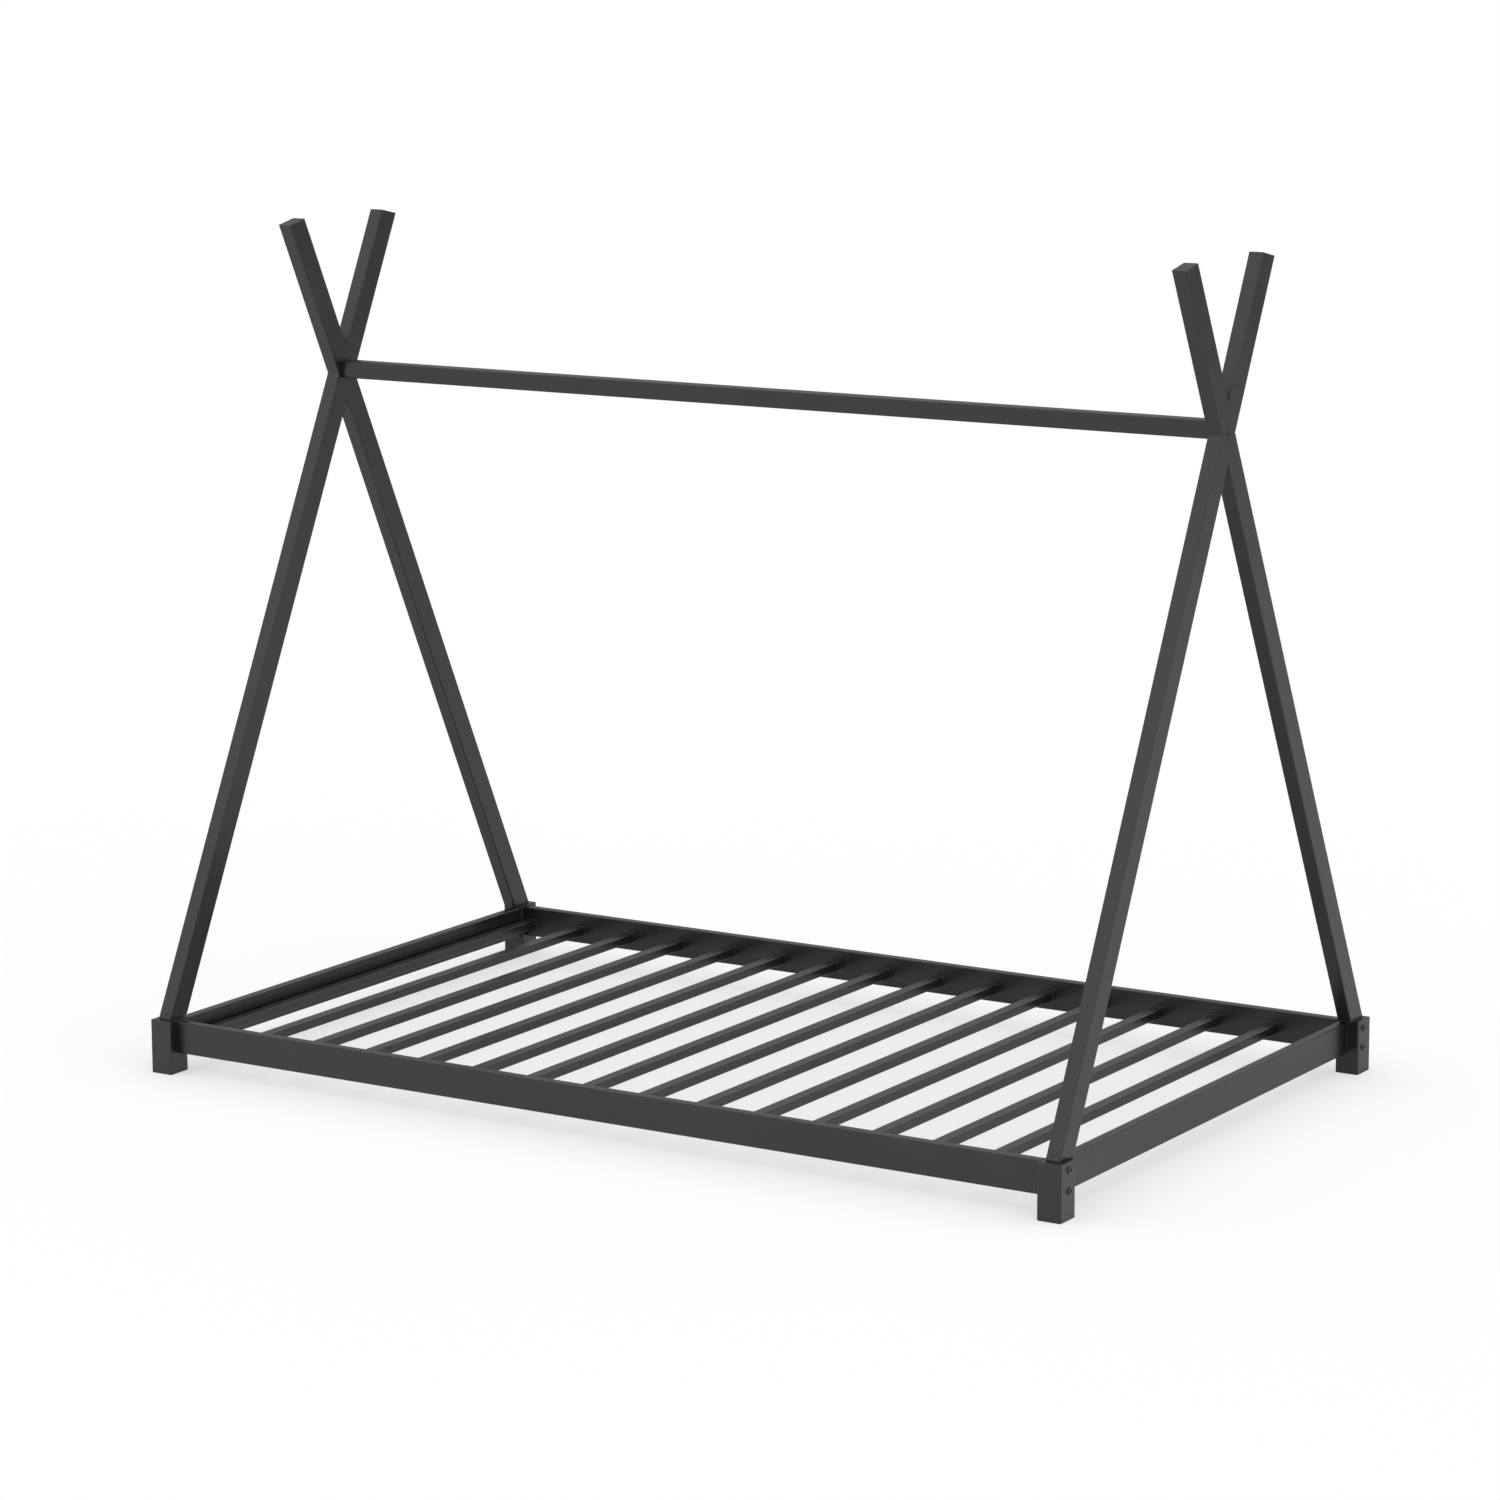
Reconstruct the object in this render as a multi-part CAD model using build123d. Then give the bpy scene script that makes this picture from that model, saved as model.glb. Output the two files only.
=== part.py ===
from build123d import *
import os
from math import atan2, cos, degrees, hypot, radians, sin

# Tent-shaped single bed frame in square and rectangular steel tube, in millimetres.
# +X runs along the length of the bed, -Y is the front long side and +Z is up.
# The origin is on the floor, under the centre of the bed.

# Overall sizes, measured over the legs. The rails leave room for a 2000 x 1200 mattress.
overall_length = 2100.0
overall_width = 1300.0

# Corner legs: short tubes, closed by a steel plate above and a plastic cap below.
leg_width = 50.0
leg_depth = 55.0
leg_height = 110.0
leg_wall = 2.0
leg_corner_radius = 3.0
foot_flange_height = 3.0
foot_plug_depth = 15.0
foot_plug_clearance = 0.3
foot_plug_wall = 3.0
top_plate_thickness = 3.0
top_plate_clearance = 0.1

# Side rails run along X and are bolted to the legs. End rails run along Y and are welded.
rail_height = 65.0
rail_thickness = 20.0
rail_wall = 1.5
rail_corner_radius = 2.0
rail_bottom = 42.0
side_rail_set_back = 22.0
end_rail_set_back = 25.0

# Slats: flat tubes welded between the side rails.
slat_count = 16
slat_width = 25.0
slat_height = 18.0
slat_wall = 1.2
slat_corner_radius = 1.5
slat_top = 80.0
slat_to_end_rail = 7.5

# Poles: two of them cross in one plane at each end of the bed. Their feet stand nearer the
# middle of the bed than the legs do.
pole_width = 30.0
pole_depth = 50.0
pole_wall = 1.5
pole_corner_radius = 2.5
pole_foot_set_in = 12.5
crossing_height = 1365.0
upper_pole_length = 360.0
pole_top_tilt = 12.0
pole_cap_thickness = 1.5
pole_cap_plug_depth = 14.0
pole_cap_clearance = 0.2

# Spigots: stubs on the leg tops that the poles slide over, each through a plastic seat
# that keeps the pole off the leg. A stub lies near the outer face of its pole.
seat_thickness = 3.0
seat_inset = 1.0
seat_clearance = 0.3
spigot_length = 62.0
spigot_depth = 30.0
spigot_wall = 3.0
spigot_clearance = 1.0

# Ridge bar between the two crossings, and the core inside each crossing.
ridge_bar_side = 35.0
ridge_bar_wall = 1.5
ridge_bar_corner_radius = 2.5
ridge_bar_rise = 8.0
core_arm_length = 75.0
core_clearance = 0.3
core_wall = 3.0
core_boss_radius = 9.0

# Fasteners: button-head bolts and screws.
bolt_spacing = 40.0
bolt_shank_radius = 3.9
bolt_thread_clearance = 0.05
bolt_hole_clearance = 0.4
bolt_head_radius = 7.5
bolt_head_height = 4.0
bolt_socket = 5.0
bolt_grip_past_leg = 14.0
nut_plate_thickness = 4.0
nut_plate_clearance = 0.1
ridge_bolt_head_radius = 6.0
ridge_bolt_head_height = 3.0
screw_shank_radius = 2.4
screw_head_radius = 4.5
screw_head_height = 2.5
screw_socket = 3.0
screw_height = 11.0
screw_length = 8.0

# Sizes that follow from the ones above.
half_length = overall_length / 2
half_width = overall_width / 2
leg_x = half_length - leg_width / 2
leg_y = half_width - leg_depth / 2
foot_y = leg_y - pole_foot_set_in
side_rail_y = half_width - side_rail_set_back - rail_thickness / 2
end_rail_x = half_length - end_rail_set_back - rail_thickness / 2
side_rail_length = overall_length - 2 * leg_width
end_rail_length = overall_width - 2 * leg_depth
rail_middle = rail_bottom + rail_height / 2
slat_length = 2 * side_rail_y - rail_thickness
first_slat_x = end_rail_x - rail_thickness / 2 - slat_to_end_rail - slat_width / 2
slat_pitch = 2 * first_slat_x / (slat_count - 1)
lean = degrees(atan2(foot_y, crossing_height - leg_height))
lower_pole_length = hypot(foot_y, crossing_height - leg_height)
pole_foot = leg_height + seat_thickness
pole_outer_x = leg_x + pole_width / 2
pole_inner_x = leg_x - pole_width / 2
ridge_bar_middle = crossing_height + ridge_bar_rise
reach = 4000.0

ENDS = {"left": -1, "right": 1}
SIDES = {"front": -1, "back": 1}
CORNERS = {f"{side}_{end}": (ENDS[end], SIDES[side]) for side in SIDES for end in ENDS}


def flat_section(width, height, radius, plane=Plane.XY):
    """A filled rectangle with round corners, centred on a plane."""
    return plane * RectangleRounded(width, height, radius)


def tube_section(width, height, wall, radius, plane=Plane.XY):
    """The cross-section of a rectangular tube, centred on a plane."""
    inner_radius = max(radius - wall, 0.4)
    outer = flat_section(width, height, radius, plane)
    return outer - flat_section(width - 2 * wall, height - 2 * wall, inner_radius, plane)


def slab(x=(-reach, reach), y=(-reach, reach), z=(-reach, reach)):
    """A box between the given limits, used to trim other solids."""
    size = (x[1] - x[0], y[1] - y[0], z[1] - z[0])
    return Pos((x[0] + x[1]) / 2, (y[0] + y[1]) / 2, (z[0] + z[1]) / 2) * Box(*size)


def pole_plane(x, lean_side):
    """The plane square to a pole at the crossing; lean_side is the side its top leans to."""
    angle = radians(lean)
    axis = (0, lean_side * sin(angle), cos(angle))
    return Plane(origin=(x, 0, crossing_height), x_dir=(1, 0, 0), z_dir=axis)


def along_pole(section_maker, x, lean_side, start, end):
    """Carries a section along a pole's axis, between two distances from the crossing."""
    base = pole_plane(x, lean_side).offset(start)
    return extrude(section_maker(base), amount=end - start, dir=base.z_dir)


def pole_tube(plane):
    """The hollow section of a pole."""
    return tube_section(pole_width, pole_depth, pole_wall, pole_corner_radius, plane)


def pole_filling(clearance):
    """Returns a maker of the section that fits inside a pole, smaller by the clearance."""
    gap = 2 * (pole_wall + clearance)

    def section(plane):
        return flat_section(pole_width - gap, pole_depth - gap, 1.2, plane)

    return section


def pole_outline(plane):
    """The filled outer section of a pole."""
    return flat_section(pole_width, pole_depth, pole_corner_radius, plane)


def hex_socket(plane, across_flats, depth):
    """The recess for a hexagon key, cut down from a plane."""
    hexagon = plane.offset(-depth) * RegularPolygon(across_flats / 2, 6, major_radius=False)
    return extrude(hexagon, amount=2 * depth, dir=plane.z_dir)


def button_screw(plane, shank_radius, length, head_radius, head_height, socket):
    """A button-head screw whose head stands on the plane and whose shank goes below it."""
    dome = Polyline((0, 0), (head_radius, 0), (head_radius, 0.3 * head_height))
    crown = ThreePointArc(
        (head_radius, 0.3 * head_height),
        (0.72 * head_radius, 0.82 * head_height),
        (0.3 * head_radius, head_height),
    )
    close = Polyline((0.3 * head_radius, head_height), (0, head_height), (0, 0))
    head = revolve(Plane.XZ * make_face(dome + crown + close), Axis.Z)
    shank = Pos(0, 0, -length / 2) * Cylinder(shank_radius, length)
    screw = head + shank - hex_socket(Plane.XY.offset(head_height), socket, 0.55 * head_height)
    return plane.location * screw


def drill(plane, radius, depth):
    """A cylinder that goes below a plane, used to cut a hole."""
    return plane.location * (Pos(0, 0, -depth / 2) * Cylinder(radius, depth + 0.02))


def leg_bolt_planes(end, side):
    """The planes on a leg's outer face on which its two bolt heads stand."""
    heights = (rail_middle - bolt_spacing / 2, rail_middle + bolt_spacing / 2)
    x = end * half_length
    y = side * side_rail_y
    return [Plane(origin=(x, y, z), x_dir=(0, 1, 0), z_dir=(end, 0, 0)) for z in heights]


def ridge_bolt_plane(end):
    """The plane on the outer face of a crossing on which the ridge bolt's head stands."""
    origin = (end * pole_outer_x, 0, crossing_height)
    return Plane(origin=origin, x_dir=(0, 1, 0), z_dir=(end, 0, 0))


def foot_screw_plane(end, side):
    """The plane on the outer narrow face of a lower pole on which its screw head stands."""
    angle = radians(lean)
    drop = crossing_height - pole_foot - screw_height + pole_depth / 2 * sin(angle)
    centre = pole_plane(end * leg_x, -side).offset(-drop / cos(angle)).origin
    normal = Vector(0, side * cos(angle), sin(angle))
    return Plane(origin=centre + normal * (pole_depth / 2), x_dir=(1, 0, 0), z_dir=normal)


def make_leg(end, side):
    """A tube that stands on its foot cap, drilled for two bolts along X."""
    section = tube_section(leg_width, leg_depth, leg_wall, leg_corner_radius)
    tube = extrude(section, amount=leg_height - foot_flange_height)
    leg = Pos(end * leg_x, side * leg_y, foot_flange_height) * tube
    for plane in leg_bolt_planes(end, side):
        leg -= drill(plane, bolt_shank_radius + bolt_hole_clearance, leg_width)
    return leg


def make_foot_cap(end, side):
    """A plastic cap: a flange the size of the leg and a hollow plug inside it."""
    gap = 2 * (leg_wall + foot_plug_clearance)
    flange = extrude(flat_section(leg_width, leg_depth, leg_corner_radius), foot_flange_height)
    flange = chamfer(flange.faces().sort_by(Axis.Z)[0].edges(), 0.8)
    base = Plane.XY.offset(foot_flange_height)
    plug = tube_section(leg_width - gap, leg_depth - gap, foot_plug_wall, 1.0, base)
    cap = flange + extrude(plug, foot_plug_depth)
    return Pos(end * leg_x, side * leg_y, 0) * cap


def spigot_bar(end, side, growth):
    """A bar along a spigot's stub, larger than the stub on every face by the growth."""
    inner_edge = pole_wall + spigot_clearance
    shift = side * (pole_depth / 2 - inner_edge - spigot_depth / 2)
    width = pole_width - 2 * inner_edge + 2 * growth
    outline = Pos(0, shift) * RectangleRounded(width, spigot_depth + 2 * growth, 1.5)
    low = -lower_pole_length - leg_depth
    high = -lower_pole_length + spigot_length
    return along_pole(lambda plane: plane * outline, end * leg_x, -side, low, high)


def make_spigot(end, side):
    """The plate that closes a leg's top, with the leaning stub that a pole slides over."""
    gap = 2 * (leg_wall + top_plate_clearance)
    plate = extrude(flat_section(leg_width - gap, leg_depth - gap, 1.0), top_plate_thickness)
    plate = Pos(end * leg_x, side * leg_y, leg_height - top_plate_thickness) * plate
    stub = spigot_bar(end, side, 0) - spigot_bar(end, side, -spigot_wall)
    stub &= slab(z=(leg_height, reach))
    hole_radius = screw_shank_radius + bolt_thread_clearance
    stub -= drill(foot_screw_plane(end, side), hole_radius, screw_length + 2)
    return plate + stub


def make_pole_seat(end, side):
    """A plastic ring around a spigot, a little smaller than the foot that stands on it."""
    across = 1 / cos(radians(lean))
    outer = (pole_width - 2 * seat_inset, pole_depth * across - 2 * seat_inset)
    ring = extrude(flat_section(*outer, 1.5), seat_thickness)
    ring = Pos(end * leg_x, side * foot_y, leg_height) * ring
    return ring - spigot_bar(end, side, seat_clearance)


def make_side_rail(side):
    """A rectangular tube along X, from leg to leg."""
    section = tube_section(rail_thickness, rail_height, rail_wall, rail_corner_radius, Plane.YZ)
    rail = extrude(section, amount=side_rail_length / 2, both=True)
    return Pos(0, side * side_rail_y, rail_middle) * rail


def make_end_rail(end):
    """A rectangular tube along Y, from leg to leg."""
    section = tube_section(rail_thickness, rail_height, rail_wall, rail_corner_radius, Plane.XZ)
    rail = extrude(section, amount=end_rail_length / 2, both=True)
    return Pos(end * end_rail_x, 0, rail_middle) * rail


def make_side_rail_nut_plates():
    """Threaded plates welded flush inside both ends of the side rails."""
    gap = 2 * (rail_wall + nut_plate_clearance)
    outline = flat_section(rail_thickness - gap, rail_height - gap, 0.6, Plane.YZ)
    middle = side_rail_length / 2 - nut_plate_thickness / 2
    plates = []
    for end, side in CORNERS.values():
        plate = extrude(outline, amount=nut_plate_thickness / 2, both=True)
        plate = Pos(end * middle, side * side_rail_y, rail_middle) * plate
        for plane in leg_bolt_planes(end, side):
            plate -= drill(plane, bolt_shank_radius + bolt_thread_clearance, 2 * leg_width)
        plates.append(plate.solid())
    return Compound(children=plates)


def make_side_rail_bolts():
    """Two bolts in each leg, through the leg into the side rail's nut plate."""
    sizes = (bolt_head_radius, bolt_head_height, bolt_socket)
    length = leg_width + bolt_grip_past_leg
    planes = [plane for corner in CORNERS.values() for plane in leg_bolt_planes(*corner)]
    return Compound(
        children=[button_screw(p, bolt_shank_radius, length, *sizes).solid() for p in planes]
    )


def make_slat(number):
    """A flat tube along Y between the side rails, counted from the left end."""
    section = tube_section(slat_width, slat_height, slat_wall, slat_corner_radius, Plane.XZ)
    slat = extrude(section, amount=slat_length / 2, both=True)
    return Pos(number * slat_pitch - first_slat_x, 0, slat_top - slat_height / 2) * slat


def trim_at_crossing(solid, side, above):
    """Keeps the quarter of a crossing that one pole piece fills."""
    y = (0, reach) if side > 0 else (-reach, 0)
    z = (crossing_height, reach) if above else (-reach, crossing_height)
    return solid & slab(y=y, z=z)


def make_lower_pole(end, side):
    """The long pole piece that stands on one leg and leans in to the crossing."""
    low = -lower_pole_length - leg_depth
    tube = along_pole(pole_tube, end * leg_x, -side, low, 2 * pole_depth)
    tube = trim_at_crossing(tube, side, above=False) & slab(z=(pole_foot, reach))
    tube -= drill(foot_screw_plane(end, side), screw_shank_radius + bolt_hole_clearance, 4)
    return tube - ridge_bolt_hole(end)


def top_plane(end, side, drop):
    """The plane of a pole's top cut, lowered along the pole by a distance."""
    angle = radians(pole_top_tilt)
    origin = pole_plane(end * leg_x, side).offset(upper_pole_length - drop).origin
    return Plane(origin=origin, x_dir=(1, 0, 0), z_dir=(0, side * sin(angle), cos(angle)))


def make_upper_pole(end, side):
    """The short pole piece that leans out above the crossing, towards one long side."""
    tube = along_pole(pole_tube, end * leg_x, side, -2 * pole_depth, upper_pole_length + 50)
    tube = split(tube, top_plane(end, side, pole_cap_thickness), keep=Keep.BOTTOM)
    return trim_at_crossing(tube, side, above=True) - ridge_bolt_hole(end)


def make_pole_cap(end, side):
    """A plastic cap: a thin lid on the pole's top cut and a plug inside the pole."""
    lid = along_pole(pole_outline, end * leg_x, side, 0, upper_pole_length + 50)
    lid = split(lid, top_plane(end, side, 0), keep=Keep.BOTTOM)
    lid = split(lid, top_plane(end, side, pole_cap_thickness), keep=Keep.TOP)
    filling = pole_filling(pole_cap_clearance)
    plug = along_pole(filling, end * leg_x, side, 0, upper_pole_length + 50)
    plug = split(plug, top_plane(end, side, pole_cap_thickness), keep=Keep.BOTTOM)
    deep = top_plane(end, side, pole_cap_thickness + pole_cap_plug_depth)
    return lid + split(plug, deep, keep=Keep.TOP)


def ridge_bolt_hole(end):
    """The clearance hole that the ridge bolt needs through a crossing."""
    return drill(ridge_bolt_plane(end), bolt_shank_radius + bolt_hole_clearance, pole_width)


def crossed_arms(end, clearance, arm_length):
    """Two bars that cross inside a crossing, one along each pole."""
    filling = pole_filling(clearance)
    x = end * leg_x
    arms = [along_pole(filling, x, side, -arm_length, arm_length) for side in SIDES.values()]
    return arms[0] + arms[1]


def make_crossing_core(end):
    """The hollow X inside a crossing: an arm in each pole piece and a boss for the bolt."""
    shell = crossed_arms(end, core_clearance, core_arm_length)
    shell -= crossed_arms(end, core_clearance + core_wall, core_arm_length + pole_depth)
    boss_length = pole_width - 2 * (pole_wall + core_clearance)
    boss = Rot(0, 90, 0) * Cylinder(core_boss_radius, boss_length)
    core = shell + Pos(end * leg_x, 0, crossing_height) * boss
    return core - ridge_bolt_hole(end)


def make_ridge_bar():
    """A square tube along X between the inner faces of the two crossings."""
    sizes = (ridge_bar_side, ridge_bar_side, ridge_bar_wall, ridge_bar_corner_radius)
    bar = extrude(tube_section(*sizes, Plane.YZ), amount=pole_inner_x, both=True)
    return Pos(0, 0, ridge_bar_middle) * bar


def make_ridge_bar_nut_plates():
    """Threaded plates welded flush inside both ends of the ridge bar."""
    side = ridge_bar_side - 2 * (ridge_bar_wall + nut_plate_clearance)
    plates = []
    for end in ENDS.values():
        plate = extrude(flat_section(side, side, 1.0, Plane.YZ), nut_plate_thickness / 2, both=True)
        x = end * (pole_inner_x - nut_plate_thickness / 2)
        plate = Pos(x, 0, ridge_bar_middle) * plate
        hole_radius = bolt_shank_radius + bolt_thread_clearance
        plate -= drill(ridge_bolt_plane(end), hole_radius, 2 * pole_width)
        plates.append(plate.solid())
    return Compound(children=plates)


def make_ridge_bolts():
    """One bolt through each crossing into the end of the ridge bar."""
    sizes = (ridge_bolt_head_radius, ridge_bolt_head_height, bolt_socket)
    length = pole_width + bolt_grip_past_leg
    planes = [ridge_bolt_plane(end) for end in ENDS.values()]
    return Compound(
        children=[button_screw(p, bolt_shank_radius, length, *sizes).solid() for p in planes]
    )


def make_foot_screws():
    """One screw through each lower pole into its spigot."""
    sizes = (screw_head_radius, screw_head_height, screw_socket)
    planes = [foot_screw_plane(*corner) for corner in CORNERS.values()]
    return Compound(
        children=[button_screw(p, screw_shank_radius, screw_length, *sizes).solid() for p in planes]
    )


parts = {
    "ridge_bar": make_ridge_bar(),
    "ridge_bar_nut_plates": make_ridge_bar_nut_plates(),
    "ridge_bolts": make_ridge_bolts(),
    "side_rail_nut_plates": make_side_rail_nut_plates(),
    "side_rail_bolts": make_side_rail_bolts(),
    "pole_foot_screws": make_foot_screws(),
    "pole_seats": Compound(children=[make_pole_seat(*c).solid() for c in CORNERS.values()]),
}
for name, (end, side) in CORNERS.items():
    parts[f"leg_{name}"] = make_leg(end, side)
    parts[f"foot_cap_{name}"] = make_foot_cap(end, side)
    parts[f"pole_spigot_{name}"] = make_spigot(end, side)
    parts[f"lower_pole_{name}"] = make_lower_pole(end, side)
    parts[f"upper_pole_{name}"] = make_upper_pole(end, side)
    parts[f"pole_cap_{name}"] = make_pole_cap(end, side)
for name, side in SIDES.items():
    parts[f"side_rail_{name}"] = make_side_rail(side)
for name, end in ENDS.items():
    parts[f"end_rail_{name}"] = make_end_rail(end)
    parts[f"crossing_core_{name}"] = make_crossing_core(end)
for number in range(slat_count):
    parts[f"slat_{number + 1:02d}"] = make_slat(number)

os.makedirs("parts", exist_ok=True)
for name, shape in parts.items():
    export_step(shape, f"parts/{name}.step")
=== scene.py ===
import logging
import math
from dataclasses import dataclass, field
from enum import Enum
from typing import Any, ClassVar

import bpy
import numpy as np
from mathutils import Matrix, Vector


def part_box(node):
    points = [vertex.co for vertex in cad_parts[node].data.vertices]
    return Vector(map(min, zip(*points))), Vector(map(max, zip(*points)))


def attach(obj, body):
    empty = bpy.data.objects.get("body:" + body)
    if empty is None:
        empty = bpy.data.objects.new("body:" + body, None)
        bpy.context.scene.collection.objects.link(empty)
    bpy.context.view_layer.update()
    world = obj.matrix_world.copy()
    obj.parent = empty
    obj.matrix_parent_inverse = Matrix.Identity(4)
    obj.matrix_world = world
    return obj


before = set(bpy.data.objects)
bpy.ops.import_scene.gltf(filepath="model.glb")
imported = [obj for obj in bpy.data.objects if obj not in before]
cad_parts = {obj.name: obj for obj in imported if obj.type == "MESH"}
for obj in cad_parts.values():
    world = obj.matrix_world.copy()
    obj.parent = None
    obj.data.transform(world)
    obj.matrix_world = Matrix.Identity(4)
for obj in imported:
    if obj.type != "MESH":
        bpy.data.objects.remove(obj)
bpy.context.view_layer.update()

LOG = logging.getLogger("bed_frame")
BODY = "root"
MM = 0.001
MM_PER_METRE = 1000.0
Colour = tuple[float, float, float]
Span = tuple[float, float]
BLACK: Colour = (0.0, 0.0, 0.0)
WHITE: Colour = (1.0, 1.0, 1.0)


class Slot(Enum):
    """The record's material slots."""

    FRAME = "frame_coating"
    PLASTIC = "plastic_caps"
    FASTENER = "fasteners"
    HIDDEN = "hidden_steel"


class End(Enum):
    """The two ends of the bed, with the sign of X on each."""

    LEFT = -1
    RIGHT = 1


class Side(Enum):
    """The two long sides of the bed, with the sign of Y on each."""

    FRONT = -1
    BACK = 1


CORNERS = [f"{side.name.lower()}_{end.name.lower()}" for side in Side for end in End]


class NodeGraph:
    """Adds and joins shader nodes in one tree, so that a finish reads as a list of steps."""

    def __init__(self, tree: bpy.types.NodeTree) -> None:
        """Starts on a tree.

        Args:
            tree: The node tree that the nodes are added to.
        """
        self.tree = tree

    def add(self, kind: str, inputs: dict[Any, Any] | None = None, **settings: Any) -> bpy.types.Node:
        """Adds a node and sets or joins its inputs.

        Args:
            kind: The node's Blender type, such as "ShaderNodeTexNoise".
            inputs: For each input's name or number, a value or the socket to join to it.
            **settings: Attributes of the node itself.

        Returns:
            The new node.
        """
        node = self.tree.nodes.new(kind)
        for name, value in settings.items():
            setattr(node, name, value)
        for key, value in (inputs or {}).items():
            if isinstance(value, bpy.types.NodeSocket):
                self.tree.links.new(value, node.inputs[key])
            else:
                node.inputs[key].default_value = value
        return node

    def math(self, operation: str, *values: Any, clamp: bool = False) -> bpy.types.NodeSocket:
        """Adds a Math node.

        Args:
            operation: The operation's Blender name.
            *values: Numbers or sockets, in order.
            clamp: Whether the result is held between 0 and 1.

        Returns:
            The result's socket.
        """
        inputs = dict(enumerate(values))
        return self.add("ShaderNodeMath", inputs, operation=operation, use_clamp=clamp).outputs[0]

    def object_place(self) -> bpy.types.NodeSocket:
        """Returns the place on the object, in metres."""
        return self.add("ShaderNodeTexCoord").outputs["Object"]

    def axis(self, vector: Any, name: str) -> bpy.types.NodeSocket:
        """Returns one of a vector's three parts, by its axis."""
        return self.add("ShaderNodeSeparateXYZ", {"Vector": vector}).outputs[name]

    def dot(self, first: Any, second: Any) -> bpy.types.NodeSocket:
        """Returns the dot product of two vectors."""
        node = self.add("ShaderNodeVectorMath", {0: first, 1: second}, operation="DOT_PRODUCT")
        return node.outputs["Value"]

    def per_metre(self, size: Any) -> bpy.types.NodeSocket:
        """Returns the noise scale for blotches of a size in millimetres."""
        return self.math("DIVIDE", MM_PER_METRE, size)

    def noise(self, vector: Any, scale: Any, detail: float, roughness: float = 0.5) -> bpy.types.NodeSocket:
        """Adds a noise texture.

        Args:
            vector: The socket that gives the place.
            scale: How many blotches there are in a metre.
            detail: How many finer layers are added.
            roughness: How strong the finer layers are.

        Returns:
            The noise, from 0 to 1.
        """
        inputs = {"Vector": vector, "Scale": scale, "Detail": detail, "Roughness": roughness}
        return self.add("ShaderNodeTexNoise", inputs).outputs["Fac"]

    def remap(self, value: Any, span: Span, first: Any = 0.0, last: Any = 1.0) -> bpy.types.NodeSocket:
        """Leads smoothly from one result to another as a value crosses a span.

        Args:
            value: The socket to follow.
            span: The values between which the result changes.
            first: The result up to the span's first value.
            last: The result from the span's second value on.

        Returns:
            The result's socket.
        """
        inputs = {"Value": value, "From Min": span[0], "From Max": span[1], "To Min": first, "To Max": last}
        return self.add("ShaderNodeMapRange", inputs, interpolation_type="SMOOTHSTEP").outputs["Result"]

    def blend(self, factor: Any, first: Any, second: Any) -> bpy.types.NodeSocket:
        """Mixes two colours.

        Args:
            factor: The share of the second colour.
            first: The first colour, or its socket.
            second: The second colour, or its socket.

        Returns:
            The mixed colour's socket.
        """
        node = self.add("ShaderNodeMix", data_type="RGBA")
        for key, value in (("Factor", factor), ("A", first), ("B", second)):
            wanted = "VALUE" if key == "Factor" else "RGBA"
            socket = next(s for s in node.inputs if s.name == key and s.type == wanted)
            if isinstance(value, bpy.types.NodeSocket):
                self.tree.links.new(value, socket)
            else:
                socket.default_value = (*value, 1.0) if wanted == "RGBA" else value
        return next(s for s in node.outputs if s.type == "RGBA")


@dataclass(frozen=True)
class SharedEffect:
    """A surface effect that several finishes use, kept as one shader node group."""

    label: ClassVar[str] = ""
    sockets_in: ClassVar[dict[str, float]] = {}
    sockets_out: ClassVar[tuple[str, ...]] = ()

    def group(self) -> bpy.types.NodeTree:
        """Gives the effect's node group, which is built the first time it is asked for.

        Returns:
            The node group.
        """
        found = bpy.data.node_groups.get(self.label)
        if found is not None:
            return found
        tree = bpy.data.node_groups.new(self.label, "ShaderNodeTree")
        for name, value in self.sockets_in.items():
            socket = tree.interface.new_socket(name, in_out="INPUT", socket_type="NodeSocketFloat")
            socket.default_value = value
        for name in self.sockets_out:
            tree.interface.new_socket(name, in_out="OUTPUT", socket_type="NodeSocketFloat")
        graph = NodeGraph(tree)
        inside = graph.add("NodeGroupInput")
        results = self.build(graph, inside.outputs)
        graph.add("NodeGroupOutput", results)
        return tree

    def build(self, graph: NodeGraph, inputs: Any) -> dict[str, bpy.types.NodeSocket]:
        """Adds the effect's nodes.

        Args:
            graph: The group's node graph.
            inputs: The group's input sockets, by name.

        Returns:
            The socket that feeds each output.
        """
        raise NotImplementedError

    def place(self, graph: NodeGraph, **values: float) -> Any:
        """Places the group in a finish.

        Args:
            graph: The finish's node graph.
            **values: The group's inputs, with an underscore for each space.

        Returns:
            The group node's output sockets, by name.
        """
        node = graph.add("ShaderNodeGroup", node_tree=self.group())
        for key, value in values.items():
            node.inputs[key.replace("_", " ")].default_value = value
        return node.outputs


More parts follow.
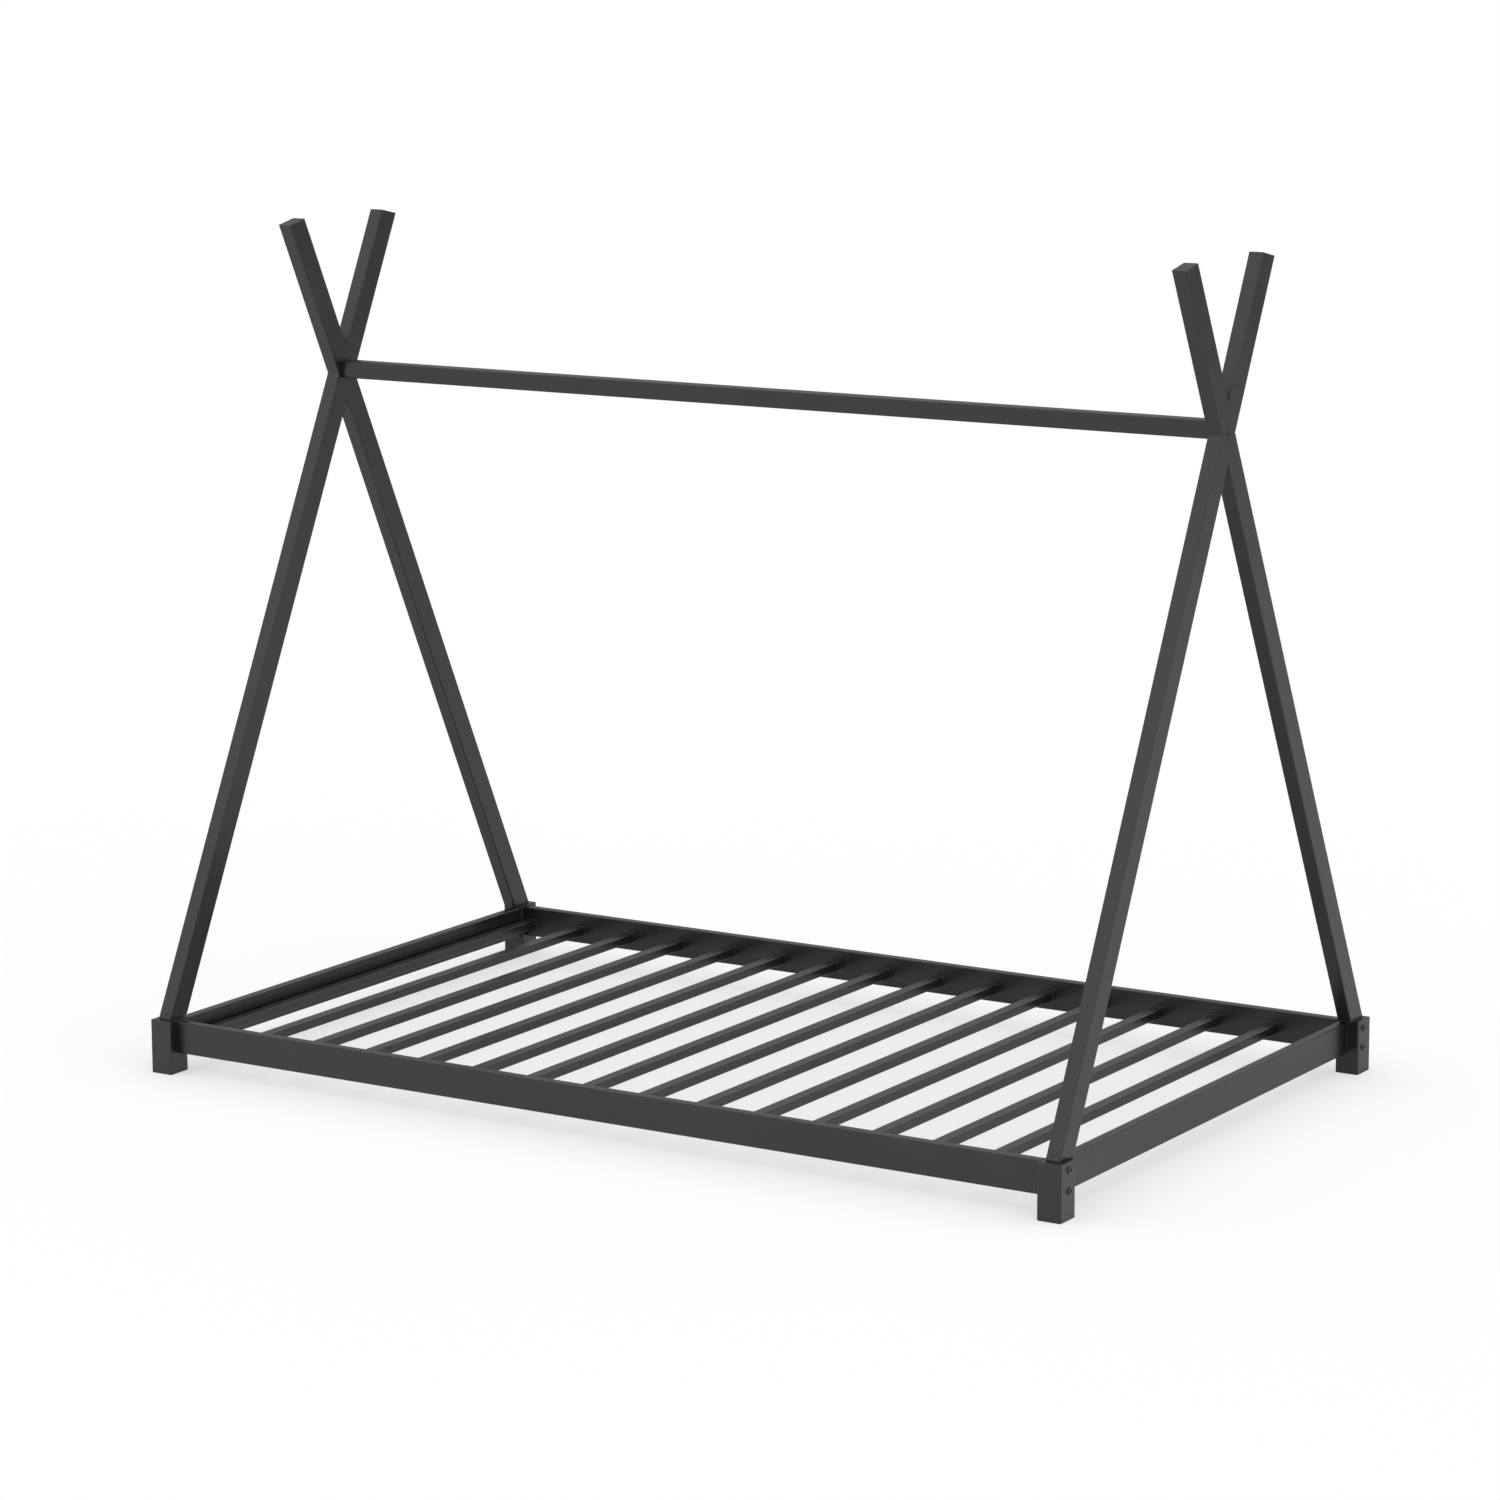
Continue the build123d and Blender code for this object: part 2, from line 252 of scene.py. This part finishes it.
class CoatTexture(SharedEffect):
    """The skin of a sprayed or moulded surface: long soft waves, fine grain and cloudy patches."""

    label = "coat_texture"
    sockets_in = {"wave size": 2.0, "grain size": 0.4, "grain share": 0.35, "patch size": 120.0}
    sockets_out = ("height", "patches")
    patch_span: ClassVar[Span] = (0.3, 0.7)

    def build(self, graph: NodeGraph, inputs: Any) -> dict[str, bpy.types.NodeSocket]:
        """Height is waves times (1 - grain share) plus grain times grain share; sizes are in mm.

        Args:
            graph: The group's node graph.
            inputs: The group's input sockets, by name.

        Returns:
            The socket that feeds each output.
        """
        place = graph.object_place()
        waves = graph.noise(place, graph.per_metre(inputs["wave size"]), detail=1.0)
        grain = graph.noise(place, graph.per_metre(inputs["grain size"]), detail=2.0, roughness=0.6)
        patches = graph.noise(place, graph.per_metre(inputs["patch size"]), detail=3.0, roughness=0.55)
        fine = graph.math("MULTIPLY", grain, inputs["grain share"])
        coarse = graph.math("MULTIPLY", waves, graph.math("SUBTRACT", 1.0, inputs["grain share"]))
        height = graph.math("ADD", fine, coarse)
        return {"height": height, "patches": graph.remap(patches, self.patch_span)}


class EdgeHighlight(SharedEffect):
    """A painted highlight along convex edges, broken up by small patches, where the coat is also made
    smoother.
    """

    label = "edge_highlight"
    sockets_in = {"radius": 1.5, "patch size": 14.0}
    sockets_out = ("mask",)
    turn_span: ClassVar[Span] = (0.995, 0.85)
    patch_span: ClassVar[Span] = (0.42, 0.62)
    share_between_patches: ClassVar[float] = 0.25
    bevel_samples: ClassVar[int] = 4

    def build(self, graph: NodeGraph, inputs: Any) -> dict[str, bpy.types.NodeSocket]:
        """The mask is how far a rounded edge's normal turns from the true one, times cloudy patches.

        Args:
            graph: The group's node graph.
            inputs: The group's input sockets, by name.

        Returns:
            The socket that feeds each output.
        """
        radius = graph.math("MULTIPLY", inputs["radius"], MM)
        rounded = graph.add("ShaderNodeBevel", {"Radius": radius}, samples=self.bevel_samples)
        true = graph.add("ShaderNodeNewGeometry").outputs["True Normal"]
        turned = graph.remap(graph.dot(rounded.outputs["Normal"], true), self.turn_span)
        scale = graph.per_metre(inputs["patch size"])
        patches = graph.noise(graph.object_place(), scale, detail=3.0, roughness=0.6)
        cover = graph.remap(patches, self.patch_span, self.share_between_patches)
        return {"mask": graph.math("MULTIPLY", turned, cover)}


class SettledDustAndTopLight(SharedEffect):
    """Fine dust on faces that look upwards, thinner in wiped patches; its pale colour also paints light on
    those upward faces.
    """

    label = "settled_dust_and_top_light"
    sockets_in = {"amount": 0.1, "patch size": 60.0}
    sockets_out = ("mask",)
    upward_span: ClassVar[Span] = (0.55, 0.98)
    patch_span: ClassVar[Span] = (0.3, 0.75)
    share_where_wiped: ClassVar[float] = 0.35

    def build(self, graph: NodeGraph, inputs: Any) -> dict[str, bpy.types.NodeSocket]:
        """The mask is the upward share of the normal, times cloudy patches, times the amount.

        Args:
            graph: The group's node graph.
            inputs: The group's input sockets, by name.

        Returns:
            The socket that feeds each output.
        """
        normal = graph.add("ShaderNodeNewGeometry").outputs["Normal"]
        facing = graph.remap(graph.axis(normal, "Z"), self.upward_span)
        scale = graph.per_metre(inputs["patch size"])
        patches = graph.noise(graph.object_place(), scale, detail=5.0, roughness=0.65)
        wiped = graph.remap(patches, self.patch_span, self.share_where_wiped)
        cover = graph.math("MULTIPLY", facing, wiped)
        return {"mask": graph.math("MULTIPLY", cover, inputs["amount"], clamp=True)}


COAT_TEXTURE = CoatTexture()
EDGE_HIGHLIGHT = EdgeHighlight()
SETTLED_DUST_AND_TOP_LIGHT = SettledDustAndTopLight()


@dataclass(frozen=True)
class Finish:
    """What a surface is made of. Sizes are in millimetres."""

    name: str
    colour: Colour
    patch_colour: Colour
    # The edge colour is a painted highlight on convex edges.
    edge_highlight_colour: Colour
    roughness: float
    roughness_spread: float
    specular: float
    wave_size: float
    grain_size: float
    grain_share: float
    relief: float
    metallic: float = 0.0
    edge_highlight_share: float = 0.5
    edge_radius: float = 1.5
    burnish_share: float = 0.25
    # Dust on upward faces, whose pale colour also paints light on them.
    dust_and_top_light: float = 0.0
    dust_and_top_light_colour: Colour = (0.3, 0.29, 0.275)

    def material(self) -> bpy.types.Material:
        """Returns the finish's material, which is built the first time it is asked for."""
        return bpy.data.materials.get(self.name) or self.build()

    def build(self) -> bpy.types.Material:
        """Builds the material: two close colours in patches, painted highlights on the edges, dust that
        also paints light on upward faces, and a fine relief.

        Returns:
            The new material.
        """
        material = bpy.data.materials.new(self.name)
        material.use_nodes = True
        material.node_tree.nodes.clear()
        graph = NodeGraph(material.node_tree)
        sizes = {"wave_size": self.wave_size, "grain_size": self.grain_size}
        texture = COAT_TEXTURE.place(graph, grain_share=self.grain_share, **sizes)
        edges = EDGE_HIGHLIGHT.place(graph, radius=self.edge_radius)["mask"]
        dust_and_top_light = SETTLED_DUST_AND_TOP_LIGHT.place(graph, amount=self.dust_and_top_light)["mask"]
        # Painted highlight: convex edges are lightened towards the edge colour, and the same mask makes
        # them less rough.
        highlit_edges = graph.math("MULTIPLY", edges, self.edge_highlight_share)
        colour = graph.blend(texture["patches"], self.colour, self.patch_colour)
        colour = graph.blend(highlit_edges, colour, self.edge_highlight_colour)
        # Dust, and painted light on upward faces: the dust colour lightens the faces that look upwards.
        colour = graph.blend(dust_and_top_light, colour, self.dust_and_top_light_colour)
        low = self.roughness - self.roughness_spread
        high = self.roughness + self.roughness_spread
        dull = graph.math("ADD", graph.remap(texture["patches"], (0.0, 1.0), low, high), dust_and_top_light)
        burnish = graph.math("MULTIPLY", highlit_edges, self.burnish_share * self.roughness)
        dull = graph.math("SUBTRACT", dull, burnish, clamp=True)
        height = graph.add("ShaderNodeBump", {"Height": texture["height"], "Distance": self.relief * MM})
        surface = {"Base Color": colour, "Roughness": dull, "Metallic": self.metallic}
        surface |= {"Specular IOR Level": self.specular, "Normal": height.outputs["Normal"]}
        shader = graph.add("ShaderNodeBsdfPrincipled", surface)
        graph.add("ShaderNodeOutputMaterial", {"Surface": shader.outputs["BSDF"]})
        LOG.info("finish %s", self.name)
        return material


# Each finish's edge colour is a painted highlight on convex edges, and its dust colour also paints light on
# upward faces.
FINISHES: dict[Slot, Finish] = {
    Slot.FRAME: Finish(
        name="satin_powder_coat",
        colour=(0.0060, 0.0060, 0.0062),
        patch_colour=(0.0085, 0.0084, 0.0083),
        edge_highlight_colour=(0.022, 0.022, 0.0225),
        roughness=0.30,
        roughness_spread=0.03,
        specular=0.55,
        wave_size=2.4,
        grain_size=0.45,
        grain_share=0.3,
        relief=0.03,
        dust_and_top_light=0.02,
    ),
    Slot.PLASTIC: Finish(
        name="moulded_black_plastic",
        colour=(0.016, 0.016, 0.0165),
        patch_colour=(0.02, 0.02, 0.02),
        edge_highlight_colour=(0.034, 0.034, 0.035),
        roughness=0.55,
        roughness_spread=0.04,
        specular=0.4,
        wave_size=1.2,
        grain_size=0.25,
        grain_share=0.75,
        relief=0.04,
        dust_and_top_light=0.04,
    ),
    Slot.FASTENER: Finish(
        name="blackened_bolt_steel",
        colour=(0.05, 0.05, 0.053),
        patch_colour=(0.075, 0.073, 0.072),
        edge_highlight_colour=(0.22, 0.215, 0.21),
        roughness=0.33,
        roughness_spread=0.06,
        specular=0.5,
        wave_size=0.9,
        grain_size=0.2,
        grain_share=0.6,
        relief=0.015,
        metallic=0.85,
        edge_highlight_share=0.8,
        edge_radius=0.5,
    ),
    Slot.HIDDEN: Finish(
        name="zinc_plated_steel",
        colour=(0.42, 0.43, 0.45),
        patch_colour=(0.5, 0.49, 0.46),
        edge_highlight_colour=(0.6, 0.6, 0.6),
        roughness=0.35,
        roughness_spread=0.08,
        specular=0.5,
        wave_size=6.0,
        grain_size=0.3,
        grain_share=0.5,
        relief=0.02,
        metallic=1.0,
    ),
}


def dress(node: str, slot: Slot) -> None:
    """Gives a CAD node the finish of a slot.

    Args:
        node: The node's name.
        slot: The record's material slot.
    """
    material = FINISHES[slot].material()
    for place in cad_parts[node].material_slots:
        place.material = material
    LOG.info("dressed %s in %s", node, material.name)


@dataclass
class WeldBead:
    """A rippled bead round a closed seam. Sizes are in metres."""

    reach: float
    sunk: float = 0.3 * MM
    ripple_pitch: float = 1.9 * MM
    ripple_share: float = 0.09
    wander_share: float = 0.08
    wander_turns: tuple[float, ...] = (2.0, 3.0, 5.0, 7.0)
    fewest_ripples: int = 8
    steps_per_ripple: int = 4
    arc_points: int = 5
    outline_points: int = 64

    def loop(self, half_u: float, half_v: float, corner: float, seed: int) -> np.ndarray:
        """One bead round a rectangle that stands on a flat plate, in the rectangle's own axes.

        The seam is the rectangle's outline, walked at an even pace. At each step the bead's profile
        is a quarter circle from the plate to the rectangle's wall, closed by a point sunk in the
        corner. Its radius is the reach, times one plus a cosine that gives the ripples, plus a slow
        random wander. The arc's two ends are sunk too, one into the plate and one into the wall.

        Args:
            half_u: Half the rectangle's size along its first axis.
            half_v: Half its size along its second axis.
            corner: The radius of its corners.
            seed: The number that settles the wander.

        Returns:
            Points as an array of steps by profile by (u, v, height above the plate).
        """
        count = self.outline_points
        angles = np.linspace(0.0, math.tau, count + 1)[:-1] + math.tau / (2 * count)
        outward = np.stack([np.cos(angles), np.sin(angles)], axis=1)
        centres = np.sign(outward) * (np.array([half_u, half_v]) - corner)
        outline = centres + corner * outward
        closed = np.vstack([outline, outline[:1]])
        turning = np.vstack([outward, outward[:1]])
        walked = np.concatenate([[0.0], np.cumsum(np.linalg.norm(np.diff(closed, axis=0), axis=1))])
        ripples = max(self.fewest_ripples, round(walked[-1] / self.ripple_pitch))
        pace = np.linspace(0.0, walked[-1], ripples * self.steps_per_ripple + 1)[:-1]
        seam = np.stack([np.interp(pace, walked, closed[:, axis]) for axis in (0, 1)], axis=1)
        normal = np.stack([np.interp(pace, walked, turning[:, axis]) for axis in (0, 1)], axis=1)
        normal /= np.linalg.norm(normal, axis=1, keepdims=True)
        turn = pace / walked[-1] * math.tau
        phases = np.random.default_rng(seed).uniform(0.0, math.tau, len(self.wander_turns))
        wander = np.cos(turn[:, None] * np.array(self.wander_turns) + phases).mean(axis=1)
        radius = self.reach * (
            1.0 + self.ripple_share * np.cos(turn * ripples) + self.wander_share * wander
        )
        arc = np.linspace(0.0, math.pi / 2, self.arc_points)
        out = np.concatenate([np.outer(radius, np.cos(arc)), np.zeros((len(pace), 1))], axis=1)
        up = np.concatenate([np.outer(radius, np.sin(arc)), np.zeros((len(pace), 1))], axis=1)
        out[:, -2:] -= self.sunk
        up[:, [0, -1]] -= self.sunk
        flat = seam[:, None, :] + out[:, :, None] * normal[:, None, :]
        return np.concatenate([flat, up[:, :, None]], axis=2)


def ring_mesh(name: str, rings: list[np.ndarray]) -> bpy.types.Object:
    """Makes one object out of closed rings of points, each closed both ways like a ring doughnut.

    A face joins each point to the next step and the next place on the profile. The rings are turned
    inside out where their signed volume, the sum of each face's corner triple products, is negative.

    Args:
        name: The object's name.
        rings: Arrays of steps by profile by XYZ.

    Returns:
        The new object, linked to the scene.
    """
    points: list[np.ndarray] = []
    faces: list[np.ndarray] = []
    start = 0
    for ring in rings:
        steps, across = ring.shape[:2]
        step, place = np.meshgrid(np.arange(steps), np.arange(across), indexing="ij")
        near = step * across + place
        far = (step + 1) % steps * across + place
        near_next = step * across + (place + 1) % across
        far_next = (step + 1) % steps * across + (place + 1) % across
        quads = np.stack([near, far, far_next, near_next], axis=-1).reshape(-1, 4)
        flat = ring.reshape(-1, 3)
        a, b, c, d = (flat[quads[:, k]] for k in range(4))
        volume = (np.cross(a, b) * c).sum() + (np.cross(a, c) * d).sum()
        quads = quads if volume > 0 else quads[:, ::-1]
        points.append(flat)
        faces.append(quads + start)
        start += len(flat)
    mesh = bpy.data.meshes.new(name)
    mesh.from_pydata(np.concatenate(points).tolist(), [], np.concatenate(faces).tolist())
    mesh.polygons.foreach_set("use_smooth", np.ones(len(mesh.polygons), dtype=bool))
    mesh.validate()
    piece = bpy.data.objects.new(name, mesh)
    bpy.context.scene.collection.objects.link(piece)
    return piece


def fit_piece(piece: bpy.types.Object, slot: Slot) -> None:
    """Gives a new piece its finish, its slot and the body that it rides on.

    Args:
        piece: The finished object.
        slot: The record's material slot.
    """
    piece.data.materials.append(FINISHES[slot].material())
    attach(piece, BODY)
    LOG.info("made %s with %d faces", piece.name, len(piece.data.polygons))


@dataclass
class Legs:
    """The four corner legs with their plates, caps and seats, and the ground welds on top."""

    wall: float = 2.0 * MM
    plate_corner: float = 1.4 * MM
    ground_share: float = 0.35
    bead: WeldBead = field(default_factory=lambda: WeldBead(reach=1.0 * MM, ripple_share=0.05))

    def dress(self) -> None:
        """Gives the legs, spigots, foot caps and seats their finishes."""
        for corner in CORNERS:
            dress(f"leg_{corner}", Slot.FRAME)
            dress(f"pole_spigot_{corner}", Slot.FRAME)
            dress(f"foot_cap_{corner}", Slot.PLASTIC)
        dress("pole_seats", Slot.PLASTIC)

    def build(self) -> None:
        """Lays a low ground weld round the plate in the top of each leg.

        The ring is a bead round the plate's edge, squeezed to the share of its height that
        grinding leaves.
        """
        rings = []
        for number, corner in enumerate(CORNERS):
            low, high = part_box(f"leg_{corner}")
            middle = (low + high) / 2
            size = (high - low) / 2
            edges = (size.x - self.wall, size.y - self.wall)
            ring = self.bead.loop(*edges, self.plate_corner, number)
            ring *= np.array([1.0, 1.0, self.ground_share])
            rings.append(ring + np.array([middle.x, middle.y, high.z]))
        fit_piece(ring_mesh("leg_top_welds", rings), Slot.FRAME)


@dataclass
class BedBase:
    """The side rails, end rails and slats, and the welds that join them."""

    slat_corner: float = 1.5 * MM
    rail_corner: float = 2.0 * MM
    slat_seed: int = 100
    rail_seed: int = 200
    slat_bead: WeldBead = field(default_factory=lambda: WeldBead(reach=1.2 * MM, ripple_pitch=1.5 * MM))
    rail_bead: WeldBead = field(default_factory=lambda: WeldBead(reach=0.9 * MM, ripple_share=0.05))

    def slats(self) -> list[str]:
        """Returns the names of the slats, from the left."""
        return sorted(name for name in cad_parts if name.startswith("slat_"))

    def dress(self) -> None:
        """Gives the rails and slats the coating."""
        for side in Side:
            dress(f"side_rail_{side.name.lower()}", Slot.FRAME)
        for end in End:
            dress(f"end_rail_{end.name.lower()}", Slot.FRAME)
        for slat in self.slats():
            dress(slat, Slot.FRAME)

    def end_weld(self, node: str, side: Side, bead: WeldBead, corner: float, seed: int) -> np.ndarray:
        """A weld round one end of a tube that runs along Y, against the face that the end meets.

        The bead's own axes become X and Z, and its height runs along Y away from the face.

        Args:
            node: The tube's node.
            side: Which of the tube's ends is welded.
            bead: The bead.
            corner: The radius of the tube's corners.
            seed: The number that settles the bead's wander.

        Returns:
            Points as an array of steps by profile by XYZ.
        """
        low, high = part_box(node)
        middle = (low + high) / 2
        size = (high - low) / 2
        ring = bead.loop(size.x, size.z, corner, seed)
        along = side.value * (size.y - ring[:, :, 2])
        return np.stack([ring[:, :, 0] + middle.x, along + middle.y, ring[:, :, 1] + middle.z], axis=2)

    def build(self) -> None:
        """Welds every slat to both side rails and every end rail to its legs."""
        for side in Side:
            rings = [
                self.end_weld(slat, side, self.slat_bead, self.slat_corner, self.slat_seed + number)
                for number, slat in enumerate(self.slats())
            ]
            fit_piece(ring_mesh(f"slat_welds_{side.name.lower()}", rings), Slot.FRAME)
        for end in End:
            node = f"end_rail_{end.name.lower()}"
            rings = [
                self.end_weld(node, side, self.rail_bead, self.rail_corner, self.rail_seed + side.value)
                for side in Side
            ]
            fit_piece(ring_mesh(f"{node}_welds", rings), Slot.FRAME)


@dataclass
class TentFrame:
    """The crossed poles, their caps and cores, and the ridge bar."""

    def dress(self) -> None:
        """Gives the poles, caps, cores and ridge bar their finishes."""
        for corner in CORNERS:
            dress(f"lower_pole_{corner}", Slot.FRAME)
            dress(f"upper_pole_{corner}", Slot.FRAME)
            dress(f"pole_cap_{corner}", Slot.PLASTIC)
        for end in End:
            dress(f"crossing_core_{end.name.lower()}", Slot.HIDDEN)
        dress("ridge_bar", Slot.FRAME)


@dataclass
class Fasteners:
    """The bolts and screws, and the threaded plates inside the tubes."""

    shown: tuple[str, ...] = ("ridge_bolts", "side_rail_bolts", "pole_foot_screws")
    hidden: tuple[str, ...] = ("ridge_bar_nut_plates", "side_rail_nut_plates")

    def dress(self) -> None:
        """Gives the bolts and the hidden plates their finishes."""
        for node in self.shown:
            dress(node, Slot.FASTENER)
        for node in self.hidden:
            dress(node, Slot.HIDDEN)


@dataclass
class Studio:
    """A wide pale floor under a soft white sky that is dim low down at the back left.

    The spans of the floor are in metres, along Y for the first and along the back's direction for
    the second. Those of the sky are parts of a direction of length one.
    """

    floor_half_size: float = 120.0
    floor_colour: Colour = (0.435, 0.435, 0.435)
    floor_patch_colour: Colour = (0.43, 0.43, 0.43)
    floor_patches_per_metre: float = 0.6
    floor_roughness: float = 0.9
    floor_glow: float = 0.49
    back: tuple[float, float, float] = (-0.53, 0.85, 0.0)
    # The under-bed and far-floor levels are painted shade on the floor, seen in reflections and bounced
    # light.
    under_bed_span: Span = (-0.7, 0.1)
    under_bed_painted_shade_level: float = 0.76
    far_floor_span: Span = (2.5, 7.5)
    far_floor_painted_shade_level: float = 0.36
    zenith_span: Span = (-0.4, 0.4)
    front_zenith: float = 1.45
    back_zenith: float = 1.1
    horizon_span: Span = (0.1, 0.9)
    front_horizon: float = 1.0
    back_horizon: float = 0.18
    height_span: Span = (0.05, 0.75)

    def floor_material(self) -> bpy.types.Material:
        """Makes a matt, pale, faintly glowing material.

        In reflections and bounced light it carries painted shade: it is dimmer under and behind the bed
        than in front.

        Returns:
            The new material.
        """
        material = bpy.data.materials.new("studio_floor")
        material.use_nodes = True
        material.node_tree.nodes.clear()
        graph = NodeGraph(material.node_tree)
        place = graph.object_place()
        patches = graph.noise(place, self.floor_patches_per_metre, detail=2.0)
        colour = graph.blend(patches, self.floor_colour, self.floor_patch_colour)
        # Painted shade: for all but camera rays, the floor's colour and glow are dimmed under the bed and
        # far behind it.
        under = graph.remap(graph.axis(place, "Y"), self.under_bed_span, 1.0, self.under_bed_painted_shade_level)
        behind = graph.dot(place, self.back)
        far = graph.remap(behind, self.far_floor_span, 1.0, self.far_floor_painted_shade_level)
        seen = graph.add("ShaderNodeLightPath").outputs["Is Camera Ray"]
        level = graph.math("MAXIMUM", seen, graph.math("MULTIPLY", under, far))
        glow = graph.blend(level, BLACK, WHITE)
        colour = graph.blend(level, BLACK, colour)
        surface = {"Base Color": colour, "Roughness": self.floor_roughness, "Specular IOR Level": 0.0}
        surface |= {"Emission Color": glow, "Emission Strength": self.floor_glow}
        shader = graph.add("ShaderNodeBsdfPrincipled", surface)
        graph.add("ShaderNodeOutputMaterial", {"Surface": shader.outputs["BSDF"]})
        return material

    def build(self) -> None:
        """Makes the floor and the sky."""
        self.build_floor()
        self.build_sky()
        LOG.info("made the studio")

    def build_floor(self) -> None:
        """Makes the floor, one square under the bed."""
        half = self.floor_half_size
        corners = [(-half, -half, 0.0), (half, -half, 0.0), (half, half, 0.0), (-half, half, 0.0)]
        mesh = bpy.data.meshes.new("floor")
        mesh.from_pydata(corners, [], [(0, 1, 2, 3)])
        floor = bpy.data.objects.new("floor", mesh)
        bpy.context.scene.collection.objects.link(floor)
        mesh.materials.append(self.floor_material())

    def build_sky(self) -> None:
        """Makes the sky, which brightens with height and towards the front."""
        world = bpy.data.worlds.new("studio")
        world.use_nodes = True
        world.node_tree.nodes.clear()
        bpy.context.scene.world = world
        graph = NodeGraph(world.node_tree)
        direction = graph.add("ShaderNodeTexCoord").outputs["Generated"]
        behind = graph.dot(direction, self.back)
        horizon = graph.remap(behind, self.horizon_span, self.front_horizon, self.back_horizon)
        zenith = graph.remap(behind, self.zenith_span, self.front_zenith, self.back_zenith)
        strength = graph.remap(graph.axis(direction, "Z"), self.height_span, horizon, zenith)
        light = {"Color": (*WHITE, 1.0), "Strength": strength}
        background = graph.add("ShaderNodeBackground", light)
        graph.add("ShaderNodeOutputWorld", {"Surface": background.outputs["Background"]})


@dataclass
class Viewpoint:
    """The camera, by its place in metres, its turn in degrees and its lens in millimetres."""

    place: tuple[float, float, float] = (5.1480, -8.1732, 2.5156)
    yaw: float = 32.307
    pitch: float = 10.858
    roll: float = -0.265
    lens: float = 117.81
    sensor: float = 36.0
    farthest: float = 500.0

    def build(self) -> None:
        """Makes the camera, aimed by its yaw left of +Y and its pitch below the horizon."""
        yaw, pitch, roll = (math.radians(angle) for angle in (self.yaw, self.pitch, self.roll))
        level_share = math.cos(pitch)
        ahead = Vector((-math.sin(yaw) * level_share, math.cos(yaw) * level_share, -math.sin(pitch)))
        level = Vector((math.cos(yaw), math.sin(yaw), 0.0))
        above = level.cross(ahead)
        right = level * math.cos(roll) + above * math.sin(roll)
        up = above * math.cos(roll) - level * math.sin(roll)
        data = bpy.data.cameras.new("camera")
        data.lens = self.lens
        data.sensor_width = self.sensor
        data.clip_end = self.farthest
        camera = bpy.data.objects.new("camera", data)
        turn = Matrix((right, up, -ahead)).transposed().to_4x4()
        camera.matrix_world = Matrix.Translation(self.place) @ turn
        bpy.context.scene.collection.objects.link(camera)
        bpy.context.scene.camera = camera
        LOG.info("made the camera")


def main() -> None:
    """Builds the bed frame's looks, the studio and the camera, in that order."""
    logging.basicConfig(level=logging.INFO, format="%(name)s: %(message)s")
    legs, base, tent, fasteners = Legs(), BedBase(), TentFrame(), Fasteners()
    for assembly in (legs, base, tent, fasteners):
        assembly.dress()
    legs.build()
    base.build()
    Studio().build()
    Viewpoint().build()
    bpy.context.scene.view_settings.view_transform = "Standard"


if __name__ == "__main__":
    main()
